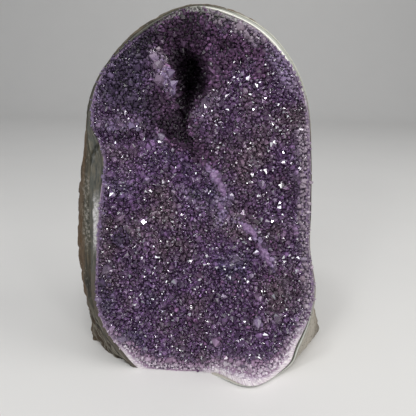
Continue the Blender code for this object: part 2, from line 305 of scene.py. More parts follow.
def fillHoles(bm):
    # One face for each open loop, such as those that the first and last rings leave at the pole.
    return bmesh.ops.holes_fill(bm, edges=[edge for edge in bm.edges if edge.is_boundary], sides=0)["faces"]


def cutAtGround(bm):
    # Cuts off what lies below the ground and closes the open foot with a flat face.
    bmesh.ops.bisect_plane(bm, geom=[*bm.verts, *bm.edges, *bm.faces], dist=1e-6,
                           plane_co=(0, 0, 0), plane_no=(0, 0, -1), clear_outer=True)
    for face in fillHoles(bm):
        face.smooth = False
        for edge in face.edges:
            edge.smooth = False


def rework(piece, *changes):
    # Lets each function change the piece's mesh, and turns all faces outwards after it.
    for change in changes:
        bm = bmesh.new()
        bm.from_mesh(piece.data)
        change(bm)
        bmesh.ops.recalc_face_normals(bm, faces=bm.faces)
        bm.to_mesh(piece.data)
        bm.free()


def settle(piece, slotName, materials, *nodes):
    # The piece gets its materials, rides on the part's one body and may replace CAD nodes. Its slot
    # name is not used.
    for material in materials:
        piece.data.materials.append(material)
    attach(piece, "root")
    if nodes:
        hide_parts(*nodes)


# shader maths

class Val:
    # A shader socket that can be added, multiplied and mixed as a number can.
    def __init__(self, shade, socket):
        self.shade, self.socket = shade, socket

    def maths(self, operation, *others, flip=False):
        values = [*others, self] if flip else [self, *others]
        return self.shade.node("ShaderNodeMath", {"operation": operation}, dict(enumerate(values)))

    def __add__(self, other): return self.maths("ADD", other)
    def __radd__(self, other): return self.maths("ADD", other)
    def __sub__(self, other): return self.maths("SUBTRACT", other)
    def __rsub__(self, other): return self.maths("SUBTRACT", other, flip=True)
    def __mul__(self, other): return self.maths("MULTIPLY", other)
    def __rmul__(self, other): return self.maths("MULTIPLY", other)


class Shade:
    # A material, with one method that adds any node and sets or links its sockets.
    def __init__(self, name):
        self.material = bpy.data.materials.new(name)
        self.material.use_nodes = True
        self.tree = self.material.node_tree
        self.shader = self.tree.nodes["Principled BSDF"]
        self.position = self.node("ShaderNodeTexCoord", {}, {}, "Object")

    def plug(self, socket, value):
        if isinstance(value, Val):
            self.tree.links.new(value.socket, socket)
        elif socket.type == "RGBA":
            socket.default_value = (*value, 1)
        else:
            socket.default_value = value

    def node(self, kind, settings, sockets, output=0):
        node = self.tree.nodes.new(kind)
        for key, value in settings.items():
            setattr(node, key, value)
        for key, value in sockets.items():
            self.plug(node.inputs[key], value)
        return Val(self, node.outputs[output])

    def attribute(self, name):
        return self.node("ShaderNodeAttribute", {"attribute_name": name}, {}, "Fac")

    def attributes(self, *names):
        return [self.attribute(name) for name in names]

    def noise(self, scale, detail=3, rough=0.55, vector=None):
        return self.node("ShaderNodeTexNoise", {}, {"Vector": vector or self.position, "Scale": scale,
                                                    "Detail": detail, "Roughness": rough}, "Fac")

    def plane(self, x, y):
        # a vector for a noise that follows a piece's own attributes
        return self.node("ShaderNodeCombineXYZ", {}, {"X": x, "Y": y})

    def between(self, value, low, high):
        # 0 below low, 1 above high, smooth in between
        return self.node("ShaderNodeMapRange", {"interpolation_type": "SMOOTHSTEP"},
                         {"Value": value, "From Min": low, "From Max": high})

    def mix(self, factor, first, second):
        # 0, 6 and 7 are the sockets of a Mix node's factor and colours, 2 is its colour result
        return self.node("ShaderNodeMix", {"data_type": "RGBA"}, {0: factor, 6: first, 7: second}, 2)

    def part(self, axis):
        # one coordinate of the place on the object
        return self.node("ShaderNodeSeparateXYZ", {}, {"Vector": self.position}, axis)

    def scale(self, colour, factor):
        # a colour, plain or from a socket, times a number
        return self.node("ShaderNodeVectorMath", {"operation": "SCALE"}, {0: colour, "Scale": factor})

    def bump(self, height, strength, distance):
        self.finish({"Normal": self.node("ShaderNodeBump", {}, {"Height": height, "Strength": strength,
                                                                "Distance": distance}, "Normal")})

    def finish(self, sockets):
        # sets or links sockets of the shader itself
        for key, value in sockets.items():
            self.plug(self.shader.inputs[key], value)
        return self.material


# amethyst crust

pocketLip = [(-31, 202), (-27, 197), (-23.5, 190), (-20, 184)]  # the lobe left of the pocket

crust = {
    "sheetColumns": 560, "sheetRows": 150,
    "sheetBehind": 0.9,  # the sheet under the crystals lies this far behind their shoulders
    "sheetRough": 0.5,
    # layers of crystals, coarse ones and the druse between them: the spacing, the share of places taken,
    # smallest and largest radius, and how far the shoulder stands out
    "points": [
        {"spacing": 4.4, "share": 0.5, "radius": (1.3, 2.4), "out": (0.3, 1.4)},
        {"spacing": 2.9, "share": 1.0, "radius": (0.9, 1.5), "out": (0.0, 0.9)},
    ],
    "druse": [{"spacing": 2.15, "share": 1.0, "radius": (0.65, 1.05), "out": (-0.2, 0.6)}],
    "bandInside": 0.8,  # the crystals' own edge lies this share of the pale band inside the crust's
    "bandCover": 1.3,  # power of the fall in cover over that band
    # beside that edge, at least and more for each mm of band: how pale, and how far in
    "rimPale": (0.24, 0.17), "rimReach": (3.2, 0.7),
    "tilt": 0.42,  # spread of each axis about the crust's normal, in radians
    # for a radius of 1: height of the point, sideways lean of its tip, depth of the foot, uneven corners
    "tipHeight": (1.0, 1.35), "tipLean": 0.3, "footDepth": 2.2, "cornerReach": (0.82, 1.15),
    "edgeReach": 5, "edgeFiner": 0.35, "edgeLower": 0.6,  # crystals change towards the crust's edge
    "seed": 23,
    "rimColumns": 720,
    # round pale crystals and patches: x, z, reach, strength. The first whitens the crystals round the
    # painted glints there, partly as a painted highlight.
    "paleSpots": [
        (-27.5, 156.5, 3.8, 1.3), (-25, 190, 7.5, 0.6), (-29, 199, 6, 0.5), (-21, 184, 5, 0.6),
        (-70, 163, 5, 0.9), (-52, 161.5, 6, 0.8), (-60, 162, 5, 0.8), (-42, 162, 5, 0.7),
        (-35, 163, 4, 0.5), (-27, 155, 6, 0.75), (-19, 154, 4, 0.6), (-7, 168, 7, 0.65), (0, 176, 6, 0.6),
        (6, 178, 5, 0.4), (-62, 70, 3.5, 0.95), (-66, 62, 4, 0.9), (-68, 51, 3.5, 0.8),
        (58, 132, 4.5, 0.65), (38, 126, 4, 0.45), (37, 38.5, 4, 0.85), (50, 39, 4, 0.8),
        (10, 24, 4.5, 0.75), (22, 78, 4, 0.6), (-53, 22, 5, 0.6), (43, 92, 4, 0.35), (56, 101, 5, 0.45),
        (68, 54, 4, 0.65), (26, 221, 9, 0.55), (36, 212, 6, 0.5), (-40, 205, 9, 0.35),
        (-52, 196, 10, 0.3), (8, 224, 9, 0.5), (-12, 225, 8, 0.5), (60, 50, 5, 0.35), (-48, 130, 8, 0.3),
        (-57, 146, 6, 0.35), (14, 108, 6, 0.4), (-45, 96, 7, 0.25), (62, 158, 6, 0.3), (60, 76, 6, 0.25),
        (24, 79, 3.4, 0.7), (47, 102, 3, 0.6), (40, 125, 3.2, 0.5), (10, 101, 4.5, 0.8),
    ],
    # single larger crystals: x, z, radius
    "largeCrystals": [
        (-62, 70, 3.2), (-66, 61.5, 3.4), (-68, 50, 2.8), (37, 38.5, 3.4), (50.5, 39, 3.2), (10, 24, 3.2),
        (-53.5, 22, 3.6), (-60, 29, 2.6), (22, 78, 2.6), (58, 132, 3), (38, 126, 2.4), (-27, 188, 3.6),
        (-22, 192, 3.2), (-21, 185, 3.4), (-28, 196, 3), (-32, 201, 2.8), (36.6, 128, 2.6),
        (46.6, 104.7, 2.6), (-64, 162, 3), (-52, 162, 2.6), (-45, 162, 2.4), (-26, 155, 2.8), (0, 175, 3),
        (-8, 166, 2.8), (-46, 97, 2.6), (-13, 62, 3), (-6, 60, 2.4), (44, 26, 3), (31, 24, 2.6),
        (-37, 203, 2.6), (20, 219, 2.8), (34, 212, 2.6), (-14, 224, 2.4), (54, 150, 2.2), (66, 66, 2.6),
        (-46, 118, 2.4), (-24, 14, 2.8), (-36, 8, 2.6), (16, 205, 2.2), (3, 118, 2.4), (60, 96, 2.4),
    ],
    # crystals with painted glints, two faces of each pale and mirror-like: x, z, radius
    "paintedGlints": [
        (-29, 158, 1.9), (-24.5, 157.5, 1.5), (-51, 178, 2), (-54, 175, 1.6), (22, 192.5, 2),
        (25, 190, 1.7), (20, 188, 1.4), (-25, 158.5, 2.2), (-21, 159, 1.9), (-27, 156, 1.6),
        (7.5, 153, 1.9), (29, 141, 1.9), (30, 133, 1.8), (44, 122, 1.9), (-46, 115, 1.9), (-4, 111, 1.8),
        (-53, 86, 1.9), (-17, 78, 1.7), (-18, 63, 2.2), (-15, 61, 1.7), (-47, 67, 1.8), (34, 78, 1.5),
        (14, 106, 1.6), (16, 103, 1.5), (-36, 122, 1.6), (56, 88, 1.5), (30, 22, 1.8), (-8, 40, 1.7),
        (-60, 36, 1.7), (48, 32, 1.6), (-30, 38, 1.6), (-38, 152, 1.5), (40, 165, 1.6), (12, 36, 1.5),
    ],
    # darker patches, partly painted shade and partly the crystals' own tone, and lighter ones with a minus,
    # partly painted light: x, z, reach, strength
    "darkSpots": [
        (-34, 203, 15, 0.75), (-10, 213, 15, 0.8), (-28, 179, 7, 0.75), (-22, 167, 9, 0.75),
        (-16, 156, 8, 0.8), (-14, 188, 8, 0.5), (-50, 188, 9, 0.35), (14, 203, 13, 0.55),
        (33, 200, 9, 0.4), (33, 189, 7, 0.35), (-3, 179, 7, 0.5), (-3, 144, 8, 0.5), (-40, 146, 12, 0.2),
        (-55, 196, 8, 0.2), (-52, 178, 9, 0.2), (-40, 176, 9, 0.3), (7, 192, 8, 0.35), (-30, 148, 6, 0.3),
        (-48, 178, 22, 0.16), (-48, 62, 24, 0.12), (-52, 94, 7, 0.35), (-40, 80, 7, 0.3),
        (-3, 68, 7, 0.3), (46, 70, 8, 0.25), (34, 40, 7, 0.35), (9, 26, 7, 0.4), (-28, 25, 7, 0.2),
        (9, 68, 7, 0.15), (-64, 54, 6, 0.2), (46, 192, 8, -0.6), (21, 180, 8, -0.6), (15, 167, 11, -0.9),
        (16, 155, 9, -0.6), (46, 156, 9, -0.6), (-57, 143, 9, -0.7), (-28, 144, 8, -0.8),
        (-15, 132, 8, -1.2), (21, 132, 8, -0.35), (-40, 107, 8, -1.1), (9, 107, 8, -0.9),
        (-34, 94, 9, -0.6), (9, 93, 7, -0.8), (-14, 68, 8, -0.6), (-52, 68, 7, -0.3), (-3, 54, 8, -0.5),
        (-52, 26, 8, -0.4), (34, 24, 8, -0.8), (-34, 10, 10, -0.8), (-12, 9, 8, -0.5), (66, 120, 8, -0.4),
        (66, 98, 8, -0.5), (68, 68, 8, -0.3),
    ],
    "blueSize": 24,
    # bluer crystals, and browner ones with a minus: x, z, reach, strength
    "blueSpots": [
        (-48, 178, 22, 0.2), (38, 172, 34, -0.3), (34, 206, 20, -0.3), (-10, 212, 18, -0.2),
        (-20, 60, 16, -0.1), (30, 30, 18, 0.25), (-12, 104, 14, -0.2),
    ],
    # smooth lilac patches along the vein: points and half width
    "patches": [
        ([(-1, 141), (3, 137.5), (7.5, 132), (11, 125.5), (13.5, 119)], 2.9),
        ([(8.5, 117), (11, 112.5), (13, 108.5)], 2.2),
        ([(22, 103.5), (27, 100), (31.5, 97), (35, 93)], 2.5),
        ([(35.5, 89.5), (38.5, 85), (41.5, 80), (45, 74)], 2.8),
    ],
    "patchForward": 1.5,  # how far they stand out
    "patchStep": 0.8, "patchColumns": 20, "patchWander": 0.25,
    "lipWidth": 5.5,  # the crystals within this distance of the pocket's lip get no painted shade
    # lines of paler crystals: points, half width, strength
    "veins": [
        ([(-2, 146), (5, 133), (16, 117)], 3.6, 0.45), ([(9, 117), (13, 109), (11, 104)], 3.5, 0.6),
        ([(21, 104), (31, 97), (39, 90)], 3.4, 0.4), ([(37, 88), (43, 79), (48, 70)], 3.2, 0.4),
        ([(-14, 124), (-4, 114), (6, 108)], 3, 0.3), ([(46, 72), (54, 64), (58, 52)], 2.4, 0.25),
        ([(-36, 214), (-15, 223), (6, 224), (27, 215), (43, 202), (52, 188)], 5.5, 0.5),
        ([(60, 160), (64, 130), (66, 95), (71, 60)], 5, 0.52), ([(-60, 186), (-68, 170)], 3, 0.3),
        (pocketLip, 6, 0.4),
    ],
    "mottle": 0.55, "mottleSize": 11,  # random darker and lighter groups among the rest
    "pocketShade": 0.7,  # painted shade: how much darker the crystals grow down in the pocket
    # painted shadow, the pocket's black core: points, half width, strength
    "pocketShadowCore": [
        ([(-14.5, 200), (-12, 196)], 9, 0.97), ([(-11, 191), (-8, 186)], 11, 0.98),
        ([(-10, 181), (-12, 176)], 8, 0.96),
        ([(-12, 174), (-13, 168)], 5, 0.94), ([(-16, 166), (-20, 160)], 6.5, 0.88),
        ([(-13.5, 168), (-14, 159), (-10.5, 152)], 3.6, 0.9), ([(-26, 163.5), (-15, 156)], 4.2, 0.92),
        ([(-10.5, 152), (-5, 143)], 3.2, 0.7),
    ],
}


def crystalSpots(layer, rng, edge):
    # A hexagonal pattern of places in x, z, each moved at random by up to a third of the spacing.
    # Steep walls get more helpings, in proportion to how much longer they are.
    spacing = layer["spacing"]
    lowX, highX, highZ = edge[:, 0].min() - 2, edge[:, 0].max() + 2, edge[:, 1].max() + 2
    x, z = np.meshgrid(np.arange(lowX, highX, spacing), np.arange(0, highZ, spacing * math.sqrt(0.75)))
    x = x + (np.arange(len(x)) % 2)[:, None] * spacing / 2
    spots = np.column_stack([x.ravel(), z.ravel()])
    helpings = []
    for helping in range(4):
        moved = spots + rng.uniform(-0.34, 0.34, spots.shape) * spacing
        slopeX, slopeZ = crustSlope(*moved.T)
        wanted = layer["share"] * np.sqrt(1 + slopeX**2 + slopeZ**2) - helping
        helpings.append(moved[rng.random(len(moved)) < wanted])
    return np.vstack(helpings)


def crustSlope(x, z, step=0.6):
    # The crust's slope along x and along z, by differences.
    return ((crustY(x + step, z) - crustY(x - step, z)) / (2 * step),
            (crustY(x, z + step) - crustY(x, z - step)) / (2 * step))


def placeCrystals(layers, singles, rim, rng):
    # Place (x, z), radius and height of the shoulder of every crystal. A layer's places thin out over
    # the band of pale quartz and stay off the smooth patches. The single crystals come last.
    spots, radius, out = [], [], []
    for layer in layers:
        places = crystalSpots(layer, rng, rim["edge"])
        inset, band = edgeDistance(*places.T, rim)
        past = readByAngle(rim["edge"], rim["spread"], polar(places)[1])
        inside = crust["bandInside"] * band
        covered = np.clip(1 + (inset + past) / (inside + past), 0, 1)
        covered = covered ** (crust["bandCover"] * (0.4 + band / 3))
        low, high = layer["radius"]
        kept = (rng.random(len(places)) < covered) & (inset + inside > 0.6 * low - past)
        kept &= (places[:, 1] > 1.0) & (offPatches(*places.T) > -2.2 * rng.random(len(places)))
        places = places[kept]
        spots.append(places)
        radius.append(low + (high - low) * rng.random(len(places)) ** 1.8)
        out.append(rng.uniform(*layer["out"], len(places)))
    if singles:
        alone = np.array(singles, float)
        spots.append(alone[:, :2])
        radius.append(alone[:, 2])
        out.append(alone[:, 2] * 0.3)
    return np.vstack(spots), np.concatenate(radius), np.concatenate(out)


# corners of one crystal: 0 to 5 at the foot, 6 to 11 at the shoulder, the tip and the foot's middle
tipCorner, footCorner, crystalCorners = 12, 13, 14


def crystalShapes(x, z, radius, out, edgeShare, rng):
    # Six-sided prisms that end in six-sided points, the axis along the crust's normal with a random
    # tilt: a ring round the axis, side cos t + other sin t, at the foot and at the shoulder, and a tip
    # that leans at random. Crystals beside the edge are finer and stand out less.
    count = len(x)
    radius = radius * (1 - crust["edgeFiner"] * edgeShare)
    slopeX, slopeZ = crustSlope(x, z)
    normal = unit(np.column_stack([slopeX, -np.ones(count), slopeZ]))
    axis = unit(normal + rng.normal(0, crust["tilt"], (count, 3)))
    side = unit(np.cross(axis, rng.normal(size=(count, 3))))
    other = np.cross(axis, side)
    root = np.column_stack([x, crustY(x, z), z])
    turn = np.arange(6) * math.pi / 3
    ring = side[:, None] * np.cos(turn)[:, None] + other[:, None] * np.sin(turn)[:, None]
    ring = ring * radius[:, None, None] * rng.uniform(*crust["cornerReach"], (count, 6, 1))
    shoulder = root + axis * (out * (1 - crust["edgeLower"] * edgeShare))[:, None]
    foot = shoulder - axis * (radius * crust["footDepth"])[:, None]
    height = radius * rng.uniform(*crust["tipHeight"], count)
    most = crust["tipLean"]
    lean = side * rng.uniform(-most, most, (count, 1)) + other * rng.uniform(-most, most, (count, 1))
    tip = shoulder + axis * height[:, None] + lean * radius[:, None]
    corners = [foot[:, None] + ring * 0.8, shoulder[:, None] + ring, tip[:, None], foot[:, None]]
    corners = np.concatenate(corners, axis=1)
    corners[..., 2] = np.maximum(corners[..., 2], 0.02)  # none reaches below the ground
    return corners


def growCrystals(name, layers, large, paintedGlints, rim, rng):
    # All crystals of some layers as one mesh, with what the materials read for each face.
    singles = [*large, *paintedGlints]
    spots, radius, out = placeCrystals(layers, singles, rim, rng)
    count = len(spots)
    x, z = spots.T
    edgeShare = np.exp(-np.maximum(edgeDistance(x, z, rim)[0], 0) / crust["edgeReach"])
    corners = crystalShapes(x, z, radius, out, edgeShare, rng)
    k = np.arange(6)
    nextK = (k + 1) % 6
    pattern = np.vstack([
        np.column_stack([6 + k, 6 + nextK, np.full(6, tipCorner)]),
        np.column_stack([k, nextK, 6 + nextK]),
        np.column_stack([k, 6 + nextK, 6 + k]),
        np.column_stack([nextK, k, np.full(6, footCorner)]),
    ])
    faces = (pattern[None] + (np.arange(count) * crystalCorners)[:, None, None]).reshape(-1, 3)
    piece = addMesh(name, corners, faces, smooth=False)
    facet = rng.random((count, 12))
    if singles:
        # the large crystals get no painted glint, and two faces of each painted-glint crystal get one
        facet[-len(singles):] *= 0.94
        facet[-len(paintedGlints):, :2] = 0.99
    facet = np.concatenate([facet, facet[:, 6:], facet[:, 6:]], axis=1)  # a side's two triangles agree
    pale = paleness(x, z, rim)
    tone = rng.random(count)
    pale = np.clip(pale * (0.7 + 0.5 * rng.random(count)), 0, 1)
    # painted shade and light, with random tone, for each crystal
    dark = darkness(x, z)
    addAttributes(piece, "FACE", facet=facet)
    addAttributes(piece, "FACE", len(pattern), tone=tone, pale=pale, dark=dark, blue=blueness(x, z))
    # 1 is the cloudy material, 2 the painted-shade copy
    kind = np.where(rng.random(count) < smoothStep(0.2, 0.5, pale), 1, 0)
    kind = np.where(rng.random(count) < smoothStep(0.12, 0.55, dark), 2, kind).astype(np.int32)
    piece.data.polygons.foreach_set("material_index", np.repeat(kind, len(pattern)))
    return piece


def lilacPatches(rng):
    # Closed flat pillows along the vein: a ring round each step of the line, across = width cos t and
    # forward = height sin t in front and 2 sin t behind. The width follows sin^0.5 of the way along,
    # with noise.
    points, faces, first = [], [], 0
    columns = crust["patchColumns"]
    turn = np.linspace(0, 2 * math.pi, columns, endpoint=False)
    for line, halfWidth in crust["patches"]:
        line = np.array(line, float)
        reach = np.concatenate([[0], np.cumsum(np.linalg.norm(np.diff(line, axis=0), axis=1))])
        count = int(reach[-1] / crust["patchStep"])
        share = np.linspace(0.01, 0.99, count)
        middle = np.column_stack([np.interp(share * reach[-1], reach, column) for column in line.T])
        way = unit(np.gradient(middle, axis=0))
        width = halfWidth * np.sin(math.pi * share) ** 0.5
        width = width * (0.85 + 0.6 * latticeNoise(np.column_stack([share * reach[-1], middle]), 3.5, 8))
        sideways = np.column_stack([way[:, 1], -way[:, 0]])
        middle = middle + sideways * rng.normal(0, crust["patchWander"], (count, 1))
        flat = middle[:, None] + (width[:, None] * np.cos(turn))[..., None] * sideways[:, None]
        rough = 1 + 0.6 * fractalNoise(atDepth(flat, 0), 1.5, 2, seed=12)
        front = np.sin(turn) * np.where(np.sin(turn) > 0, crust["patchForward"], 2) * rough
        front = front * (width / halfWidth)[:, None] ** 0.5
        rings = atDepth(flat, crustY(flat[..., 0], flat[..., 1]) - front)
        ends = [[first + columns * row + k for k in range(columns)] for row in (0, count - 1)]
        points.append(rings.reshape(-1, 3))
        faces += (ringFaces(count, columns) + first).tolist() + [ends[0], ends[1][::-1]]
        first += count * columns
    piece = addMesh("lilacPatches", np.vstack(points), faces, smooth=False)
    rework(piece, fillHoles)
    addAttributes(piece, "FACE", facet=rng.random(len(piece.data.polygons)))
    return piece


def edgeDistance(x, z, rim):
    # How far inside the crust's edge a place lies, measured towards the pole and less the band of pale
    # quartz, and that band's width.
    reach, angle = polar(np.column_stack([x, z]))
    edgeReach = readByAngle(rim["edge"], polar(rim["edge"])[0], angle)
    band = readByAngle(rim["edge"], rim["quartz"], angle)
    return edgeReach - reach - crust["bandInside"] * band, band


def paleness(x, z, rim):
    # 0 in the dark middle, towards 1 on the pale spots and veins and beside the rim.
    inset, band = edgeDistance(x, z, rim)
    (least, added), (leastReach, addedReach) = crust["rimPale"], crust["rimReach"]
    besideRim = np.exp(-((np.maximum(inset, 0) / (leastReach + addedReach * band)) ** 2))
    pale = np.clip(least + added * band, 0, 1) * besideRim
    for spotX, spotZ, size, strength in crust["paleSpots"]:
        pale = np.maximum(pale, 0.5 * strength * bump(x, z, spotX, spotZ, size, size, 4))
    for line, size, strength in crust["veins"]:
        pale = np.maximum(pale, strength * nearLine(x, z, line, size))
    return pale


def darkness(x, z):
    # Painted shade, 1 being black, and painted light below 0, with random tone: listed spots and
    # noise, then the pocket's painted shade, less its lip, and last its painted black shadow core.
    mottle = crust["mottle"] * faceNoise(x, z, crust["mottleSize"], 3, seed=91, fall=0.7)
    dark = np.clip(spotSum(x, z, crust["darkSpots"]) + mottle, -0.9, 0.75)
    well = sum(deep * bump(x, z, *place, 4) for *place, deep in geode["wells"])
    dark = np.maximum(dark, crust["pocketShade"] * smoothStep(2, 10, well))
    dark = dark * (1 - nearLine(x, z, pocketLip, crust["lipWidth"]))
    for line, width, strength in crust["pocketShadowCore"]:
        dark = np.maximum(dark, strength * nearLine(x, z, line, width, 10))
    return dark


def faceNoise(x, z, size, octaves, seed, fall):
    # Fractal noise of the place on the face.
    return fractalNoise(np.stack([x, np.zeros(np.shape(x)), z], axis=-1), size, octaves, seed, fall)


def spotSum(x, z, spots):
    # Sum of bells, strength exp(-(distance / reach)^2).
    return sum(strength * bump(x, z, atX, atZ, size, size, 2) for atX, atZ, size, strength in spots)


def blueness(x, z):
    # Below 0 brown, above 0 blue: wide noise and the listed spots.
    return faceNoise(x, z, crust["blueSize"], 4, seed=61, fall=0.6) + spotSum(x, z, crust["blueSpots"])


def offPatches(x, z):
    # How far a place lies outside the nearest smooth patch.
    return np.min([distanceToLine(x, z, line) - 0.7 * width for line, width in crust["patches"]], axis=0)


def crustBody(rim):
    # Rings from the pole to the edge in front, displaced by the relief and roughened at random so that
    # its facets look like the feet of crystals, then the wall and the bowl.
    rng = np.random.default_rng(crust["seed"] + 1)
    front = []
    for share in np.linspace(0.012, 1, crust["sheetRows"]):
        flat = shrink(rim["edge"], share)
        inner = smoothStep(1.0, 0.97, share)
        behind = crust["sheetBehind"] * inner + geode["rimBehind"] * smoothStep(0.94, 1.0, share)
        jitter = rng.uniform(-1, 1, (len(flat), 3)) * crust["sheetRough"] * inner
        front.append(atDepth(flat, crustY(*flat.T) + behind) + jitter)
    rings = np.array(front + bedRings(rim, 0, 0))
    piece = addMesh("amethystBody", rings, ringFaces(*rings.shape[:2]), smooth=False)
    x, _, z = rings.reshape(-1, 3).T
    # the sheet carries the painted shade too
    addAttributes(piece, "POINT", pale=0.9 * paleness(x, z, rim), facet=rng.random(len(x)),
                  dark=darkness(x, z), blue=blueness(x, z))
    rework(piece, fillHoles, cutAtGround)
    return piece


def amethystMaterial():
    # clear crystals: plain purple, browner or bluer by noise, with facets of different brightness
    shade = Shade("amethyst")
    tone, pale, facet, dark, blue = shade.attributes("tone", "pale", "facet", "dark", "blue")
    deep = shade.mix(shade.between(blue, 0.05, -0.6), (0.258, 0.138, 0.322), (0.285, 0.180, 0.258))
    deep = shade.mix(shade.between(blue, 0.05, 0.7), deep, (0.180, 0.142, 0.285))
    cloud = shade.noise(42, 4)
    light = (0.45 + 1.6 * facet * facet) * (0.7 + 0.6 * tone) * (0.62 + 0.76 * cloud)
    colour = shade.mix(pale, shade.scale(deep, light), shade.scale((0.90, 0.72, 0.98), 0.45 + 0.45 * facet))
    # grey chalcedony at the very top
    x, z = shade.part("X"), shade.part("Z")
    grey = shade.between(z + 0.012 * cloud, 0.225, 0.233) * shade.between(x, -0.026, -0.012)
    grey = grey * shade.between(x, 0.026, 0.010) * shade.between(tone + facet, 0.5, 0.7)
    colour = shade.mix(grey, colour, shade.scale((0.42, 0.44, 0.37), 0.35 + 0.65 * facet))
    # painted shade where the shade attribute is above 0, and painted light where it is below 0
    colour = shade.scale(colour, 1 - dark)
    # painted glints: a few facets turn pale and mirror-like, standing in for light that comes back from
    # inside the crystal
    paintedGlint = shade.between(facet, 0.955, 0.961) * (1 - dark) * (1 - 0.8 * pale)
    colour = shade.mix(paintedGlint, colour, (0.86, 0.86, 0.92))
    return shade.finish({
        "Base Color": colour, "Roughness": 0.05 + 0.13 * tone + 0.5 * dark * dark, "Metallic": paintedGlint * 0.9,
        "IOR": 1.55, "Specular IOR Level": 0.85, "Transmission Weight": 0.6,
    })


def shadedAmethystMaterial():
    # painted shade: a darker copy of the crystals' material for those down in the pocket and under its
    # roof, dark reddish purple with little gloss
    shade = Shade("shadedAmethyst")
    tone, facet, dark, blue = shade.attributes("tone", "facet", "dark", "blue")
    light = (0.4 + 1.8 * facet * facet) * (0.7 + 0.6 * tone) * (1.05 - dark)
    left = shade.between(shade.part("X"), -0.022, -0.042)
    colour = shade.mix(left, (0.215, 0.108, 0.225), (0.165, 0.112, 0.215))
    colour = shade.mix(shade.between(blue, 0.2, 1.2), colour, (0.14, 0.11, 0.22))
    return shade.finish({
        "Base Color": shade.scale(colour, light), "Roughness": 0.2 + 0.2 * tone, "IOR": 1.45,
        "Specular IOR Level": 0.3, "Transmission Weight": 0.2,
    })


def milkyMaterial():
    # cloudy crystals, lilac to nearly white towards the rim
    shade = Shade("milkyAmethyst")
    tone, pale, facet, dark = shade.attributes("tone", "pale", "facet", "dark")
    x, z = shade.part("X"), shade.part("Z")
    # pinker at the foot, violet in places above it, greyer along the right edge and the crown
    high = shade.between(z, 0.015, 0.05)
    warm = shade.mix(high, (0.33, 0.17, 0.32), (0.245, 0.14, 0.295))
    plain = shade.mix(shade.between(shade.noise(22, 2), 0.42, 0.62) * high, warm, (0.205, 0.15, 0.30))
    right = shade.between(x, 0.046, 0.062) * high
    greyed = right.maths("MAXIMUM", shade.between(z - x * 0.12, 0.198, 0.212))
    plain = shade.mix(greyed, plain, (0.31, 0.22, 0.275))
    lilac = shade.mix(greyed, shade.mix(high, (0.46, 0.30, 0.45), (0.345, 0.25, 0.44)), (0.42, 0.33, 0.42))
    colour = shade.mix(shade.between(pale, 0.1, 0.55), plain, lilac)
    colour = shade.mix(shade.between(pale, 0.5, 1.05), colour, (0.94, 0.84, 0.93))
    # the facets vary at random, and the shade attribute adds painted shade
    light = (0.55 + 0.5 * facet) * (0.85 + 0.3 * shade.noise(300, 3)) * (1 - 0.7 * dark)
    colour = shade.scale(colour, light)
    return shade.finish({
        "Base Color": colour, "Roughness": 0.16 + 0.2 * tone, "IOR": 1.55, "Specular IOR Level": 0.7,
        "Transmission Weight": 0.15,
    })


def lilacMaterial():
    # the patches along the vein, lilac with darker flecks
    shade = Shade("lilacAmethyst")
    fleck = shade.between(shade.noise(420, 4, 0.65), 0.36, 0.62)
    colour = shade.mix(fleck, (0.13, 0.07, 0.165), (0.30, 0.185, 0.35))
    colour = shade.scale(colour, 0.72 + 0.5 * shade.attribute("facet"))
    return shade.finish({
        "Base Color": colour, "Roughness": 0.3, "IOR": 1.5, "Specular IOR Level": 0.4,
        "Transmission Weight": 0.1,
    })


# pale columnar quartz round the crust

quartz = {
    "columns": 2400, "rows": 15,
    "underCrystals": 1.0,  # how far it goes on below them
    "whiteWidths": (2.5, 5.5),  # it is white where it is broad: not at all, and fully
    "ribWidth": 0.9, "ribHeight": 0.3,
    "grainSize": 1.6, "grainHeight": 0.35,
}


def quartzRim(rim):
    # A strip from inside the crystals to the crust's edge, y = near + (far - near) share^2.2, ribbed
    # along the rim by noise that hardly changes across the strip, and roughened by finer noise.
    outward, width = rim["outward"], rim["quartz"] + quartz["underCrystals"]
    along = np.arange(len(outward)) * (geode["wayRound"] / len(outward))
    front = []
    for share in np.linspace(0, 1, quartz["rows"]):
        flat = rim["edge"] - outward * (width * (1 - share))[:, None]
        near = crustY(*flat.T) + 0.3
        far = crustY(*flat.T) + geode["rimBehind"] - 0.1
        y = near + (far - near) * share**2.2
        ribAt = np.column_stack([along, np.full(len(along), share * 1.5), np.zeros(len(along))])
        y = y - quartz["ribHeight"] * fractalNoise(ribAt, quartz["ribWidth"], 2, seed=3) * (1 - 0.5 * share)
        grain = fractalNoise(atDepth(flat, 0), quartz["grainSize"], 2, seed=5)
        y = y - quartz["grainHeight"] * grain * (1 - 0.7 * share)
        front.append(atDepth(flat, y))
    rings = np.array(front + [front[-1] + (0, 5, 0), front[0] + (0, 6, 0)])
    faces = np.vstack([ringFaces(*rings.shape[:2]), closingFaces(*rings.shape[:2])])
    piece = addMesh("quartzRim", rings, faces)
    share = np.concatenate([np.linspace(0, 1, quartz["rows"]), [1, 0]])
    white = smoothStep(*quartz["whiteWidths"], rim["quartz"])
    addAttributes(piece, "POINT", across=np.repeat(share, len(outward)),
                  along=np.tile(along, len(rings)), white=np.tile(white, len(rings)))
    rework(piece, cutAtGround)
    return piece


def closingFaces(rows, columns):
    # Quads from the last ring back to the first.
    first, last = np.arange(columns), np.arange(columns) + (rows - 1) * columns
    return np.column_stack([last, np.roll(last, -1), np.roll(first, -1), first])


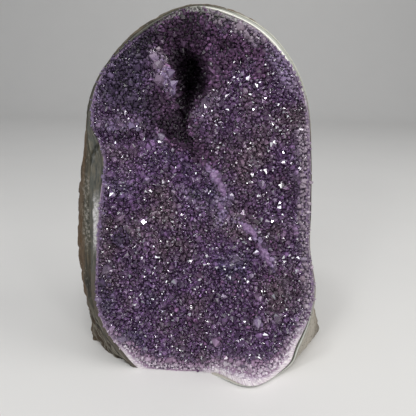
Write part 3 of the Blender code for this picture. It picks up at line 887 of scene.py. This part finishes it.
def quartzMaterial():
    # purple beside the crystals, lilac to chalky white outwards, in streaks across the strip
    shade = Shade("paleQuartz")
    along, across, white = shade.attributes("along", "across", "white")
    streak = shade.noise(1.1, 3, 0.6, vector=shade.plane(along, across * 1.2))
    outwards = across + 0.5 * streak
    grain = shade.noise(900, 3, 0.6)
    purple = shade.mix(grain, (0.06, 0.03, 0.09), (0.26, 0.16, 0.30))
    purple = shade.mix(white, purple, shade.mix(grain, (0.16, 0.08, 0.16), (0.44, 0.28, 0.42)))
    lilac = shade.mix(grain, (0.26, 0.17, 0.29), (0.66, 0.54, 0.67))
    chalk = shade.mix(shade.between(streak, 0.35, 0.65), (0.54, 0.43, 0.52), (0.97, 0.92, 0.92))
    colour = shade.mix(shade.between(outwards, 0.35, 0.75) * (0.15 + 0.85 * white), purple, lilac)
    colour = shade.mix(shade.between(outwards, 0.50, 0.85) * white, colour, chalk)
    # a pale line beside the scar, grey at the very top
    leftLine = shade.between(across, 0.7, 0.95) * shade.between(shade.part("X"), -0.050, -0.058)
    colour = shade.mix(leftLine * 0.7, colour, (0.66, 0.55, 0.60))
    grey = shade.mix(shade.noise(260, 3), (0.10, 0.095, 0.09), (0.36, 0.35, 0.34))
    colour = shade.mix(shade.between(shade.part("Z") + 0.02 * grain, 0.222, 0.236), colour, grey)
    return shade.finish({"Base Color": colour, "Roughness": 0.28, "IOR": 1.55, "Specular IOR Level": 0.6})


# agate lining

agate = {
    "columns": 1100, "frontRows": 15,
    # height of its streaks: at least, and more for each mm of width
    "rough": 0.16, "roughByWidth": 0.07, "streakSize": 3,
    "crackDepth": 1.3,
    # lines on the broken part at the left: points, half width
    "crack": ([(-62, 152), (-67, 148), (-70.5, 142), (-72, 137)], 1.1),
    "moss": ([(-73.5, 149), (-73.2, 141)], 1.3),
}


def lineMark(points, line):
    # 1 on a line drawn on the face, falling to 0 beside it.
    x, _, z = np.asarray(points).reshape(-1, 3).T
    return nearLine(x, z, *line, 2)


def agateLining(rim):
    # The bowl behind the crust, round the front of the rim and back over the outside of the bowl. The
    # front is y = face + noise stretched along the rim + width/2 share (1 - share), a shallow hollow.
    gap, width = geode["gap"], rim["agate"]
    inner = bedRings(rim, gap, gap)
    outer = bedRings(rim, gap + width, gap + geode["agateThickness"])
    along = np.arange(len(width)) * (geode["wayRound"] / len(width))
    shares = np.linspace(0, 1, agate["frontRows"])
    front = []
    for share in shares:
        flat = rim["edge"] + rim["outward"] * (gap + width * share)[:, None]
        at = np.column_stack([along * 0.3, share * width * 1.6, np.zeros(len(along))])
        rough = fractalNoise(at, agate["streakSize"], 4, seed=9)
        rough = rough * (agate["rough"] + agate["roughByWidth"] * width)
        hollow = 0.5 * width * share * (1 - share)
        groove = agate["crackDepth"] * lineMark(atDepth(flat, 0), agate["crack"])
        front.append(atDepth(flat, faceY(*flat.T) + geode["rimBehind"] + rough + hollow + groove))
    rings = np.array(inner[::-1] + front + outer)
    piece = addMesh("agateLining", rings, ringFaces(*rings.shape[:2]))
    across = np.concatenate([np.zeros(len(inner)), shares, np.ones(len(outer))])
    addAttributes(piece, "POINT", across=np.repeat(across, len(width)), along=np.tile(along, len(rings)),
                  crack=lineMark(rings, agate["crack"]), moss=lineMark(rings, agate["moss"]))
    rework(piece, fillHoles, cutAtGround)
    return piece


def agateMaterial():
    # dark grey-green in streaks on the left, two bands of cream and grey on the right
    shade = Shade("agate")
    along, across, crack, moss = shade.attributes("along", "across", "crack", "moss")
    layer = shade.noise(1.3, 5, 0.6, vector=shade.plane(along * 0.1, across * 5))
    cloud = shade.noise(160, 4, 0.6)
    x, z = shade.part("X"), shade.part("Z")
    height = z + 0.012 * cloud
    scar = shade.mix(shade.between(layer, 0.35, 0.66), (0.034, 0.038, 0.033), (0.118, 0.106, 0.078))
    scar = shade.mix(shade.between(cloud, 0.45, 0.7) * 0.6, scar, (0.060, 0.068, 0.060))
    brown = shade.scale((0.085, 0.070, 0.052), 0.5 + layer)
    scar = shade.mix(shade.between(height, 0.078, 0.064), scar, brown)
    outer = shade.between(across + 0.15 * cloud, 0.3, 0.5)
    cream = shade.mix(outer, (0.92, 0.90, 0.82), (0.50, 0.51, 0.45))
    inner = shade.mix(shade.between(x, 0.030, 0.048), (0.50, 0.46, 0.40), (0.085, 0.085, 0.065))
    foot = shade.mix(shade.between(across + 0.2 * cloud, 0.5, 0.7), inner, (0.50, 0.51, 0.46))
    cream = shade.mix(shade.between(z, 0.06, 0.03), cream, foot)
    colour = shade.mix(shade.between(x, -0.02, 0.01), scar, cream)
    side = shade.between(x, 0.040, 0.055) * shade.between(z, 0.045, 0.070) * shade.between(z, 0.190, 0.170)
    colour = shade.mix(side, colour, shade.mix(cloud, (0.12, 0.09, 0.13), (0.42, 0.34, 0.42)))
    # the white patch beside the crust, low on the scar
    patch = shade.between(height, 0.082, 0.097) * shade.between(height, 0.130, 0.112)
    patch = patch * shade.between(across + 0.6 * cloud, 0.98, 0.8) * shade.between(x, -0.05, -0.06)
    powder = shade.between(shade.noise(700, 4), 0.35, 0.65)
    colour = shade.mix(patch, colour, shade.mix(powder, (0.27, 0.27, 0.25), (0.62, 0.60, 0.60)))
    colour = shade.mix(crack * 0.9, colour, (0.015, 0.016, 0.012))
    colour = shade.mix(moss * 0.8, colour, (0.22, 0.20, 0.03))
    return shade.finish({"Base Color": colour, "Roughness": 0.42, "IOR": 1.54, "Specular IOR Level": 0.5})


# basalt rind

rind = {
    "columns": 640, "flankRows": 30, "backRows": 66,
    "wayRound": 760,  # about the length of its widest edge
    "rib": 0.9, "ribLength": 42, "ribWidth": 5, "crevice": 0.9,  # height, size and depth on the flank
    "chip": 0.8, "chipSize": 13,
    "backRough": 1.6, "backSize": 14,
    "lump": 2.2, "lumpSize": 34, "grain": 0.45, "grainSize": 4,
    "ledge": 0.9, "ledgeSize": 7,  # at the lower left only
    "pit": 1.1, "pitSize": 7,
}


def rindSkin(rim):
    # Lip, flank, widest edge and back: the flank goes back by share^power, where power grows with the
    # height, and the back is a dome, edge + (full - edge)(1 - share^fullness)^power.
    outward, widest = rim["outward"], rim["widest"]
    lipWidth = rim["agate"] + 2 * geode["gap"] + geode["rockLip"]
    lipFlat = rim["edge"] + outward * lipWidth[:, None]
    lip = atDepth(lipFlat, faceY(*lipFlat.T) + geode["rimBehind"] + 1)
    broad = atDepth(widest, faceY(*widest.T) + rim["depth"])
    power = np.interp(rim["edge"][:, 1], geode["flankHeights"], geode["flankPowers"])
    rings = []
    for out in np.linspace(0, 1, rind["flankRows"]):
        way = np.stack(np.broadcast_arrays(out, out**power, out), axis=-1)
        rings.append(lip + (broad - lip) * way)
    turn = np.linspace(0, 1, rind["backRows"] + 1)[1:]
    for share in (1 - turn**2.0 * 0.55 - turn**0.9 * 0.43):
        flat = shrink(widest, share)
        full = geode["backY"] - geode["backLean"] * flat[:, 1] ** 2
        rise = (1 - share ** geode["backFullness"]) ** geode["backPower"]
        rings.append(atDepth(flat, broad[:, 1] + (full - broad[:, 1]) * rise))
    return np.array(rings)


def rindRelief(skin, along, across):
    # How far the rock stands out, ring by ring from the lip: ribs and crevices along the flank, chips,
    # a rough back, wide lumps, grain, pits, and ledges at the lower left. Each is noise times a mask.
    row = np.arange(len(skin))[:, None]
    widest = rind["flankRows"]
    ribAt = [along / rind["ribLength"] * 6, across / rind["ribWidth"] * 6, skin[..., 1] * 0.05]
    rib = fractalNoise(np.stack(ribAt, axis=-1), 6, 3, seed=21)
    crevice = smoothStep(0.75, 1, ridges(rib))
    flank = smoothStep(0, 4, row) * smoothStep(widest + 14, widest - 4, row)
    push = (rind["rib"] * (rib - 0.25) - rind["crevice"] * crevice) * flank
    back = fractalNoise(skin, rind["backSize"], 4, seed=81, fall=0.6)
    push = push + rind["backRough"] * back * smoothStep(widest, widest + 12, row)
    chip = smoothStep(0.55, 1, ridges(latticeNoise(skin, rind["chipSize"], seed=71)))
    push = push - rind["chip"] * chip * smoothStep(2, 8, row)
    lump = fractalNoise(skin, rind["lumpSize"], 3, seed=31) - 0.55
    push = push + rind["lump"] * lump * smoothStep(widest - 8, widest + 10, row)
    grain = fractalNoise(skin, rind["grainSize"], 3, seed=41)
    push = push + rind["grain"] * grain * smoothStep(0, 3, row)
    pit = smoothStep(0.30, 0.65, fractalNoise(skin, rind["pitSize"], 2, seed=51))
    push = push - rind["pit"] * pit * smoothStep(6, 20, row)
    ledge = ridges(latticeNoise(skin * (1, 0.6, 1), rind["ledgeSize"], seed=95)) - 0.5
    lowerLeft = smoothStep(44, 26, skin[..., 2]) * smoothStep(-20, -38, skin[..., 0])
    return push + rind["ledge"] * ledge * lowerLeft * smoothStep(1, 7, row)


def basaltRind(rim):
    # The bowl behind the agate, the mouth, and the skin pushed out along its normals by the relief.
    width = rim["agate"] + 2 * geode["gap"]
    bed = bedRings(rim, width, geode["agateThickness"] + 2 * geode["gap"])
    mouthFlat = rim["edge"] + rim["outward"] * width[:, None]
    mouth = atDepth(mouthFlat, faceY(*mouthFlat.T) + geode["rimBehind"] + 0.4)
    skin = rindSkin(rim)
    normal = gridNormals(skin)
    if normal[-5, :, 1].mean() < 0:  # a ring of the back, which faces +Y
        normal = -normal
    rows, columns = skin.shape[:2]
    along = np.broadcast_to(np.arange(columns) * (rind["wayRound"] / columns), (rows, columns))
    steps = np.linalg.norm(np.diff(skin, axis=0), axis=2)
    across = np.cumsum(np.vstack([np.zeros(columns), steps]), axis=0)
    skin = skin + normal * rindRelief(skin, along, across)[..., None]
    rings = np.concatenate([np.array(bed[::-1] + [mouth]), skin])
    piece = addMesh("basaltRind", rings, ringFaces(*rings.shape[:2]))
    hidden = len(bed) + 1
    addAttributes(piece, "POINT", along=np.concatenate([np.tile(along[0], hidden), along.ravel()]),
                  across=np.concatenate([np.zeros(hidden * columns), across.ravel()]))
    rework(piece, fillHoles, cutAtGround)
    return piece


def basaltMaterial():
    # olive-brown, in layers along the flank and mottled on the back
    shade = Shade("basalt")
    along, across = shade.attributes("along", "across")
    cloud = shade.noise(26, 5, 0.6)
    speck = shade.noise(420, 3, 0.7)
    back = shade.between(across + 18 * cloud, 34, 56)
    layers = shade.noise(1.0, 5, 0.6, vector=shade.plane(along * 0.035, across * 0.45))
    rib = layers * (1 - back) + shade.noise(75, 6, 0.68) * back
    x, z = shade.part("X"), shade.part("Z")
    colour = shade.mix(shade.between(rib, 0.36, 0.64), (0.024, 0.022, 0.016), (0.150, 0.120, 0.080))
    colour = shade.mix(shade.between(cloud, 0.45, 0.68) * 0.6, colour, (0.105, 0.105, 0.080))
    # rusty brown on the outer flank, and pale stains on the back
    rust = shade.between(across, 3, 12) * shade.between(cloud + 0.6 * rib, 0.62, 0.85)
    colour = shade.mix(rust * (0.75 - 0.3 * back), colour, (0.160, 0.092, 0.045))
    stain = back * shade.between(shade.noise(38, 6, 0.7), 0.52, 0.62)
    colour = shade.mix(stain * 0.55, colour, (0.20, 0.185, 0.15))
    # speckled pale rock beside the white patch
    height = z + 0.02 * cloud
    spot = shade.between(height, 0.088, 0.105) * shade.between(height, 0.150, 0.130)
    spot = spot * shade.between(x, -0.06, -0.07) * shade.between(across, 11, 4)
    colour = shade.mix(spot * shade.between(speck, 0.46, 0.60) * 0.7, colour, (0.40, 0.37, 0.33))
    # darker at the lower left, with pale ledges, and painted shade on the left flank
    foot = shade.between(z, 0.050, 0.025) * shade.between(x, 0.0, -0.03) * (1 - back)
    colour = shade.scale(colour, 1 - 0.5 * foot)
    colour = shade.mix(shade.between(rib, 0.50, 0.56) * foot * 0.9, colour, (0.27, 0.25, 0.20))
    # painted shade: the left flank, turned away from the window lamp, a quarter darker
    colour = shade.scale(colour, 1 - 0.25 * shade.between(x, -0.05, -0.07) * (1 - back))
    # pale beige on the lower right, cream at the upper right
    wander = shade.noise(34, 5, 0.65) - 0.5
    beige = shade.between(x + 0.05 * wander, 0.04, 0.06) * shade.between(z + 0.22 * wander, 0.13, 0.07)
    sand = shade.mix(rib, (0.26, 0.235, 0.20), (0.56, 0.52, 0.45))
    colour = shade.mix(beige * (0.85 - 0.5 * back), colour, sand)
    cream = shade.between(x, 0.0, 0.03) * shade.between(z, 0.15, 0.19) * shade.between(across, 16, 2)
    colour = shade.mix(cream, colour, (0.50, 0.50, 0.42))
    colour = shade.mix(shade.between(speck, 0.58, 0.74) * 0.55, colour, (0.34, 0.32, 0.27))
    colour = shade.mix(shade.between(speck, 0.44, 0.34) * 0.5, colour, (0.03, 0.028, 0.024))
    shade.bump(speck + 0.6 * rib, 0.5, 0.0006)
    return shade.finish({
        "Base Color": colour, "Roughness": 0.62 + 0.25 * cloud, "Specular IOR Level": 0.35,
    })


# stage

stage = {
    "cameraAt": (3, -273, 200), "pitch": 19.5, "roll": 1.13, "lens": 36 * 417 / 416,
    "floorColour": (0.74, 0.73, 0.71),
}


def addFloor():
    # A floor that curves up into a backdrop: flat, then a quarter circle, then upright.
    near, far, radius, wide, high = -1.6, 1.2, 0.6, 3.0, 2.4
    turn = np.linspace(0, math.pi / 2, 24)
    y = np.concatenate([[near], far + radius * np.sin(turn), [far + radius]])
    z = np.concatenate([[0], radius - radius * np.cos(turn), [high]])
    points = np.array([[(side, a, b) for a, b in zip(y, z)] for side in (-wide, wide)]) / mm
    count = len(y)
    low = np.arange(count - 1)
    piece = addMesh("floor", points, np.column_stack([low, low + count, low + count + 1, low + 1]))
    shade = Shade("floorPaint")
    grain = shade.noise(9, 3)
    pale = stage["floorColour"]
    darker = tuple(value * 0.96 for value in pale)
    paint = shade.finish({"Base Color": shade.mix(grain, darker, pale), "Roughness": 0.55})
    piece.data.materials.append(paint)


def addLight(name, at, target, size, power, colour):
    # A rectangular lamp whose back axis points away from its target.
    lamp = bpy.data.lights.new(name, "AREA")
    lamp.shape, lamp.size, lamp.size_y = "RECTANGLE", size[0], size[1]
    lamp.energy, lamp.color = power, colour
    back = unit(np.array(at, float) - np.array(target, float))
    right = unit(np.cross((0, 0, 1), back))
    turn = Matrix((right, np.cross(back, right), back)).transposed().to_4x4()
    addObject(name, lamp).matrix_world = Matrix.Translation(at) @ turn


def addStage():
    addFloor()
    # each light's place, width and height, brightness and colour; the sparks make the crystals glint
    for name, at, size, bright, colour in (
        ("window", (1.15, -0.25, 0.85), (0.8, 1.0), 2.8, (1.0, 0.99, 0.97)),
        ("fill", (-0.7, -1.1, 1.0), (0.9, 0.7), 1.6, (0.96, 0.98, 1.0)),
        ("overhead", (0.0, -0.25, 1.6), (1.0, 0.8), 2.0, (1, 1, 1)),
        ("sparkLeft", (-0.6, -1.0, 0.7), (0.18, 0.18), 20, (1, 1, 1)),
        ("sparkRight", (0.65, -0.95, 0.5), (0.18, 0.18), 20, (1, 1, 1)),
        ("sparkTop", (0.15, -0.7, 1.15), (0.18, 0.18), 20, (1, 1, 1)),
        ("sparkFar", (-0.35, -0.35, 1.25), (0.18, 0.18), 20, (1, 1, 1)),
    ):
        addLight(name, at, (0, 0, 0.12), size, bright * math.pi * size[0] * size[1], colour)
    bpy.context.scene.view_settings.view_transform = "Standard"
    world = bpy.data.worlds.new("room")
    bpy.context.scene.world = world
    world.use_nodes = True
    sky = world.node_tree.nodes["Background"].inputs
    sky["Color"].default_value, sky["Strength"].default_value = (0.80, 0.82, 0.86, 1), 0.35
    lens = bpy.data.cameras.new("camera")
    lens.lens, lens.sensor_width, lens.clip_start = stage["lens"], 36, 0.01
    camera = addObject("camera", lens)
    place = Matrix.Translation([value * mm for value in stage["cameraAt"]])
    tilt = Matrix.Rotation(math.radians(90 - stage["pitch"]), 4, "X")
    camera.matrix_world = place @ tilt @ Matrix.Rotation(math.radians(stage["roll"]), 4, "Z")
    bpy.context.scene.camera = camera


def build():
    rng = np.random.default_rng(crust["seed"])
    # the third is a painted-shade copy of the first
    crystal = [amethystMaterial(), milkyMaterial(), shadedAmethystMaterial()]
    rim = makeRim(crust["rimColumns"])
    # the listed large crystals, then those with painted glints
    large, paintedGlints = crust["largeCrystals"], crust["paintedGlints"]
    points = growCrystals("amethystPoints", crust["points"], large, paintedGlints, rim, rng)
    druse = growCrystals("amethystDruse", crust["druse"], [], [], rim, rng)
    body = crustBody(makeRim(crust["sheetColumns"]))
    settle(points, "amethyst", crystal)
    settle(druse, "amethyst", crystal)
    settle(body, "amethyst", crystal, "amethyst_crust")
    settle(lilacPatches(rng), "amethyst", [lilacMaterial()])
    print("crust, crystals:", *(len(piece.data.vertices) // crystalCorners for piece in (points, druse)))

    settle(quartzRim(makeRim(quartz["columns"])), "amethyst", [quartzMaterial()])
    settle(agateLining(makeRim(agate["columns"])), "agate", [agateMaterial()], "agate_lining")
    print("quartz and agate rim")

    settle(basaltRind(makeRim(rind["columns"])), "basalt", [basaltMaterial()], "basalt_rind")
    print("rind")
    addStage()
    print("stage")


build()
